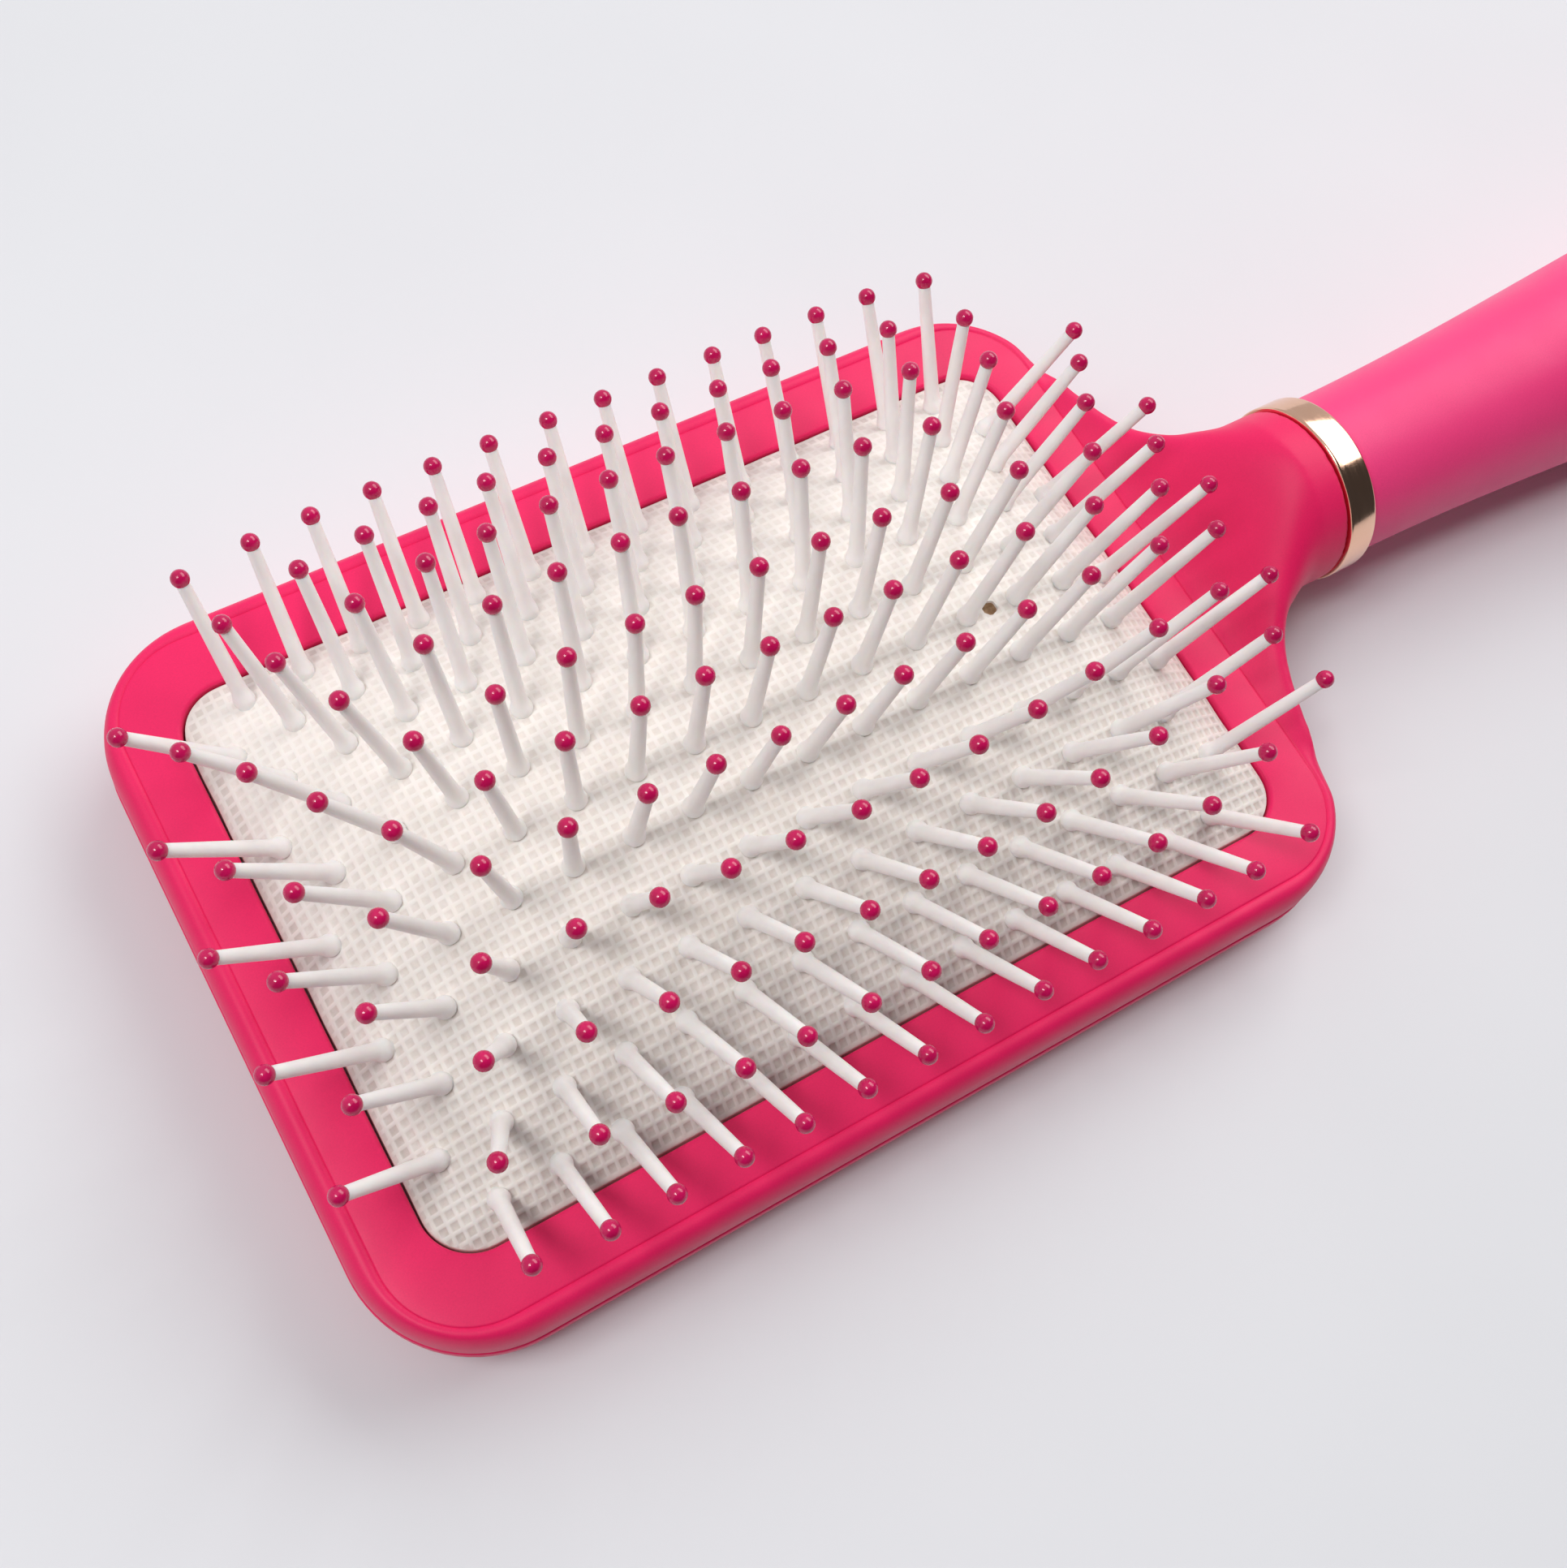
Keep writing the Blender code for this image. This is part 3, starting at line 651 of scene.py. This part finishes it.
def make_cushion():
    """Domed rubber skin with moulded square ribs, cut to the opening and round the vent."""
    xs, ys = rib_lines(OPENING_HALF_X), rib_lines(OPENING_HALF_Y)
    on_rib_x, on_rib_y = np.arange(len(xs)) % 4 < 2, np.arange(len(ys)) % 4 < 2
    x, y = (g.ravel() for g in np.meshgrid(xs, ys, indexing="ij"))
    rib = (on_rib_x[:, None] | on_rib_y[None, :]).ravel()

    step = 0.02
    inside = edge_distance(x, y) < -0.03
    for _ in range(3):                                    # pull what lies outside onto the outline
        d = edge_distance(x, y)
        gx = (edge_distance(x + step, y) - edge_distance(x - step, y)) / (2 * step)
        gy = (edge_distance(x, y + step) - edge_distance(x, y - step)) / (2 * step)
        near = (d > 0) & (d < 2 * CELL)
        x, y = np.where(near, x - gx * d, x), np.where(near, y - gy * d, y)
    away = np.hypot(x - VENT[0], y - VENT[1])
    outside_vent = away > VENT_RADIUS - 0.02
    push = np.where(outside_vent, 1.0, VENT_RADIUS / np.maximum(away, 1e-3))
    x, y = VENT[0] + (x - VENT[0]) * push, VENT[1] + (y - VENT[1]) * push

    inward = -np.minimum(edge_distance(x, y), 0)
    # Share of the painted rim shade, fading inwards over RIM_WIDTH from the outline.
    rim_share = np.clip(1.0 - inward / RIM_WIDTH, 0, 1) ** 1.3
    hollow = np.where(rib, 0.0, np.clip(inward / RIB_FADE, 0.0, 1.0))
    worn = np.clip(WORN_MIDDLE - y / WORN_SPAN, 0.0, 1.0)     # the ribs are fainter on one side
    ripple = np.sin(x / 1.3 + 0.9 * np.sin(y / 4.1)) * np.sin(y / 1.15 + 0.5 * np.sin(x / 5.3))
    sunk = hollow * worn * RIB_DEPTH + RIPPLE * (1.0 + ripple)
    feet = np.array([foot for row in range(ROWS) for foot in row_feet(row)])
    for foot_x, foot_y in feet:
        sunk += FOOT_DIMPLE * np.exp(-((x - foot_x) ** 2 + (y - foot_y) ** 2) / FOOT_REACH ** 2)
    points = np.stack([x, y, dome_z(x, y)], -1) - dome_normal(x, y) * sunk[:, None]

    index = np.arange(len(x)).reshape(len(xs), len(ys))
    quads = np.stack([index[:-1, :-1], index[1:, :-1], index[1:, 1:], index[:-1, 1:]], -1).reshape(-1, 4)
    keep = inside[quads].any(1) & outside_vent[quads].any(1)
    quads = quads[keep]
    used, quads = np.unique(quads, return_inverse=True)
    quads = quads.reshape(-1, 4)

    mesh = bpy.data.meshes.new("pad_skin")
    mesh.from_pydata(((points[used] + (HEAD_X, 0, 0)) * MM).tolist(), [], quads.tolist())
    bm = bmesh.new()
    bm.from_mesh(mesh)
    hollow_layer = bm.verts.layers.float.new("hollow")
    rim_layer = bm.verts.layers.float.new("rim")
    bm.verts.ensure_lookup_table()
    for vert, h, r in zip(bm.verts, hollow[used], rim_share[used]):
        vert[hollow_layer], vert[rim_layer] = h, r

    border = [e for e in bm.edges if e.is_boundary]
    vent_x = (HEAD_X + VENT[0]) * MM

    def at_vent(edge):
        return (edge.verts[0].co.xy - Vector((vent_x, VENT[1] * MM))).length < 2 * MM

    def extrude(edges, move, rim_value):
        """A band of new faces along a border, made in the border's own order."""
        twins, new_edges = {}, []
        for edge in edges:
            for vert in edge.verts:
                if vert not in twins:
                    twins[vert] = bm.verts.new(move(vert.co), vert)
                    twins[vert][rim_layer] = rim_value
            first, second = edge.verts
            bm.faces.new((second, twins[second], twins[first], first))
            new_edges.append(bm.edges.get((twins[first], twins[second])))
        return new_edges

    def outward(co, grow, z):
        px, py = co.x / MM - HEAD_X, co.y / MM
        e = 0.02
        gx = float(edge_distance(px + e, py) - edge_distance(px - e, py)) / (2 * e)
        gy = float(edge_distance(px, py + e) - edge_distance(px, py - e)) / (2 * e)
        return Vector(((HEAD_X + px + gx * grow) * MM, (py + gy * grow) * MM, z * MM))

    rim = [e for e in border if not at_vent(e)]
    # The walls going down into the gap under the bezel carry the full painted rim shade.
    for grow, z, value in ((0.06, 11.9, 1.0), (0.06, 11.2, 1.0), (0.1, FLANGE_TOP_Z, 1.0),
                           (3.2, FLANGE_TOP_Z, 1.0), (0.0, 9.4, 1.0)):
        rim = extrude(rim, lambda co, g=grow, h=z: outward(co, g, h), value)

    hole = [e for e in border if at_vent(e)]
    top = float(dome_z(*VENT))
    # The vent's upper walls carry half the painted rim shade.
    for shrink, depth in ((0.97, 0.12), (0.9, 0.45), (0.86, VENT_DEPTH)):
        def inwards(co, s=shrink, deep=depth):
            centre = Vector((vent_x, VENT[1] * MM, 0))
            flat = Vector((co.x, co.y, 0))
            r = centre + (flat - centre).normalized() * VENT_RADIUS * s * MM
            return Vector((r.x, r.y, (top - deep) * MM))
        hole = extrude(hole, inwards, 0.5)
    ends = {v for e in hole for v in e.verts}
    middle = bm.verts.new((vent_x, VENT[1] * MM, (top - VENT_DEPTH - 0.1) * MM))
    floor_faces = [bm.faces.new((e.verts[0], e.verts[1], middle)) for e in hole]
    for face in bm.faces:
        face.smooth = True
    # The deepest band and floor of the vent take the brown painted shade.
    deep_verts = ends | {middle}
    for face in bm.faces:
        if any(v in deep_verts for v in face.verts):
            face.material_index = 1
    for face in floor_faces:
        face.material_index = 1
    bmesh.ops.recalc_face_normals(bm, faces=bm.faces)
    bm.to_mesh(mesh)
    bm.free()
    mesh.materials.append(RUBBER)
    mesh.materials.append(VENT_SHADE)
    obj = bpy.data.objects.new("pad_skin", mesh)
    bpy.context.scene.collection.objects.link(obj)
    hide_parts("cushion_pad")
    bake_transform(obj)


# Pins

def row_feet(row):
    y = (row - (ROWS - 1) / 2) * ROW_PITCH
    count = PINS_SHORT_ROW + row % 2
    return [(FIELD_SHIFT_X + (k - (count - 1) / 2) * PIN_PITCH, y) for k in range(count)]


def lean_towards(position, to_edge, law):
    amount, reach, power = law
    side = (position > 0.01) - (position < -0.01)
    return side * amount * math.exp(-(to_edge / reach) ** power)


def pin_direction(x, y):
    """Pins lean out over the nearer edges, as the pad bulges."""
    x -= FIELD_SHIFT_X
    to_end, to_side = OPENING_HALF_X - abs(x), OPENING_HALF_Y - abs(y)
    total = to_end ** LEAN_SHARE + to_side ** LEAN_SHARE
    lean_x = lean_towards(x, to_end, LEAN_X) * to_side ** LEAN_SHARE / total
    lean_y = lean_towards(y, to_side, LEAN_Y) * to_end ** LEAN_SHARE / total
    return Vector((lean_x, lean_y, math.sqrt(1.0 - lean_x ** 2 - lean_y ** 2)))


STEM = curve_through([(-1.0, 0.95), (-0.25, 1.02), (0.2, 1.15), (0.65, 1.12), (1.1, 0.97), (1.7, 0.86),
                      (3.2, 0.83), (6.5, 0.79), (10.0, 0.745), (13.2, 0.70), (14.55, 0.68),
                      (14.9, 0.66)], 2)
BALL = [(PIN_LENGTH - BALL_RADIUS * math.cos(math.pi * k / 14),
         BALL_RADIUS * max(math.sin(math.pi * k / 14), 0.004)) for k in range(15)]


def wobble(x, y):
    """Small scatter in the way the pins stand, the same in every run."""
    return Vector((math.sin(7.13 * x + 3.7 * y), math.sin(5.31 * y - 2.9 * x), 0.0)) * PIN_SCATTER


def along_pin(x, y, profile, sides=20):
    """Points and faces of a turned shape that stands on the pad at (x, y)."""
    axis = (pin_direction(x, y) + wobble(x, y)).normalized()
    side = axis.cross(Vector((0, 1, 0))).normalized()
    across = axis.cross(side)
    foot = Vector((x, y, float(dome_z(x, y))))
    points = []
    for height, radius in profile:
        for k in range(sides):
            angle = 2 * math.pi * k / sides
            points.append(tuple(foot + axis * height + (side * math.cos(angle)
                                                        + across * math.sin(angle)) * radius))
    faces = loops_to_faces(len(profile), sides)
    faces.append(tuple(range(sides)))
    faces.append(tuple(range(len(points) - sides, len(points))))
    return points, faces


def make_pins():
    for row in range(ROWS):
        feet = row_feet(row)
        stems = join_meshes(*(along_pin(x, y, STEM) for x, y in feet))
        balls = join_meshes(*(along_pin(x, y, BALL) for x, y in feet))
        pins = piece(f"pins_{row + 1:02d}", *stems, NYLON, 60)
        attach(pins, "cushion")
        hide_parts(f"pin_row_{row + 1:02d}")
        tips = piece(f"pin_tips_{row + 1:02d}", *balls, CRIMSON, 60)
        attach(tips, "cushion")
        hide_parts(f"pin_row_{row + 1:02d}")


# Handle

def grip_radius(x):
    return (mix(*GRIP_RADIUS, smoothstep((x - GRIP_X[0]) / (GRIP_FULL_X - GRIP_X[0])))
            - GRIP_TAPER * smoothstep((x - GRIP_FULL_X) / GRIP_TAPER_RUN))


def make_handle():
    x0, x1 = RING_X
    bore = RING_RADIUS - 3.0
    ring = rounded([(x0, bore), (x0, RING_RADIUS), (x1, RING_RADIUS), (x1, bore)], 0.35, 6)
    profile = [(x, min(r, RING_RADIUS)) for x, r in ring]
    ferrule = piece("ferrule_band", *turned(profile, 128, closed=True), ROSE_GOLD)
    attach(ferrule, "brush")
    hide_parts("ferrule_ring")

    x0, x1 = GRIP_X
    r0, r1 = grip_radius(x0), grip_radius(x1)
    front = [(x0, r0 - 1.8)] + [(x0 + 0.5 * (1 - math.sin(a)), r0 - 0.5 + 0.5 * math.cos(a))
                                for a in np.linspace(math.pi / 2, 0, 6)]
    body = [(x, grip_radius(x)) for x in np.linspace(x0 + 1.0, x1 - 0.5, 60)]
    rear = [(x1 - 0.25 + 0.25 * math.sin(a), r1 - 0.25 + 0.25 * math.cos(a))
            for a in np.linspace(0, math.pi / 2, 5)] + [(x1, r1 - 1.8)]
    grip = piece("handle_grip", *turned(front + body + rear, 96, closed=True), GRIP_PINK)
    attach(grip, "brush")
    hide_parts("handle_sleeve")

    start, end = x1 + GAP, CAP_X[1]
    radius = grip_radius(start)
    dome = [(start, radius - 0.25), (start + 0.08, radius - 0.08), (start + 0.25, radius)]
    dome += [(start + 0.25 + (end - start - 0.25) * math.sin(a), radius * math.cos(a))
             for a in np.linspace(0.05, math.pi / 2, 26)]
    plug = [(CAP_X[0], 6.0), (start - 0.4, 6.0), (start, 6.4)]
    cap = piece("handle_end", *turned(plug + dome, 96), GRIP_PINK)
    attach(cap, "brush")
    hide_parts("end_cap")


make_head_shell()
make_bezel()
make_back_cover()
make_cushion()
make_pins()
make_handle()

for name in ("pad_retainer", "handle_core"):
    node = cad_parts[name]
    node.data.materials.clear()
    node.data.materials.append(INNER)


# Floor, light and camera

def make_stage():
    bm = bmesh.new()
    bmesh.ops.create_circle(bm, cap_ends=True, segments=128, radius=FLOOR_RADIUS)
    mesh = bpy.data.meshes.new("floor")
    bm.to_mesh(mesh)
    bm.free()
    mesh.materials.append(floor_material())
    floor = bpy.data.objects.new("floor", mesh)
    floor.location = (0, 0, -FLOOR_DROP)
    bpy.context.scene.collection.objects.link(floor)


def area_light(name, place, target, size, power, colour=(1, 1, 1)):
    light = bpy.data.lights.new(name, "AREA")
    light.shape = "RECTANGLE"
    light.size, light.size_y = size
    light.energy = power
    light.color = colour
    obj = bpy.data.objects.new(name, light)
    obj.location = place
    obj.rotation_euler = (Vector(target) - Vector(place)).to_track_quat("-Z", "Y").to_euler()
    bpy.context.scene.collection.objects.link(obj)
    return obj


def make_light():
    """A wide soft panel beyond the handle, a small lamp over the toe, and a room that is darker
    on one side."""
    middle = Vector((HEAD_X * MM, 0, 0.015))
    lamp_white = (1.0, 0.98, 0.97)
    area_light("panel", middle + Vector((0.66, 0.26, 0.70)) * 0.9, middle,
               (0.85, 0.45), 4.9, (1.0, 0.99, 0.97))
    area_light("lamp", middle + Vector((-0.373, -0.073, 0.925)) * 0.8, middle,
               (0.12, 0.12), 0.9, lamp_white)
    area_light("toe_lamp", middle + Vector((-0.22, 0.03, 0.42)), middle,
               (0.14, 0.14), 0.64, lamp_white)
    world = bpy.data.worlds.new("studio")
    bpy.context.scene.world = world
    world.use_nodes = True
    nodes, link = world.node_tree.nodes, world.node_tree.links.new
    background = nodes["Background"]
    split = nodes.new("ShaderNodeSeparateXYZ")
    link(nodes.new("ShaderNodeTexCoord").outputs["Generated"], split.inputs[0])
    side = nodes.new("ShaderNodeMapRange")
    side.inputs["From Min"].default_value, side.inputs["From Max"].default_value = -1.0, 1.0
    link(split.outputs["Y"], side.inputs["Value"])
    turned_side = nodes.new("ShaderNodeMath")             # the toe's side is the lighter one
    turned_side.operation = "MULTIPLY_ADD"
    turned_side.inputs[1].default_value = -0.12
    link(split.outputs["X"], turned_side.inputs[0])
    link(side.outputs["Result"], turned_side.inputs[2])
    ramp = nodes.new("ShaderNodeValToRGB")
    ramp.color_ramp.elements.new(0.5)
    levels = ((0.40, 0.05), (0.50, 0.62), (0.60, 0.56))
    for element, (position, level) in zip(ramp.color_ramp.elements, levels):
        element.position, element.color = position, (level * 0.98, level * 0.985, level, 1.0)
    link(turned_side.outputs[0], ramp.inputs["Fac"])
    path = nodes.new("ShaderNodeLightPath")
    seen = nodes.new("ShaderNodeMix")
    seen.data_type = "RGBA"
    seen.inputs[7].default_value = (0.80, 0.80, 0.82, 1.0)
    link(path.outputs["Is Camera Ray"], seen.inputs[0])
    link(ramp.outputs["Color"], seen.inputs[6])
    link(seen.outputs[2], background.inputs["Color"])
    background.inputs["Strength"].default_value = 1.0


def make_camera():
    data = bpy.data.cameras.new("camera")
    data.sensor_width = 36.0
    data.lens = 40.43
    data.clip_start, data.clip_end = 0.01, 20.0
    obj = bpy.data.objects.new("camera", data)
    obj.location = (-0.11799, -0.05521, 0.18275)
    obj.rotation_euler = [math.radians(a) for a in (22.80, -7.59, -30.08)]
    bpy.context.scene.collection.objects.link(obj)
    bpy.context.scene.camera = obj


make_stage()
make_light()
make_camera()
bpy.context.scene.view_settings.view_transform = "Standard"
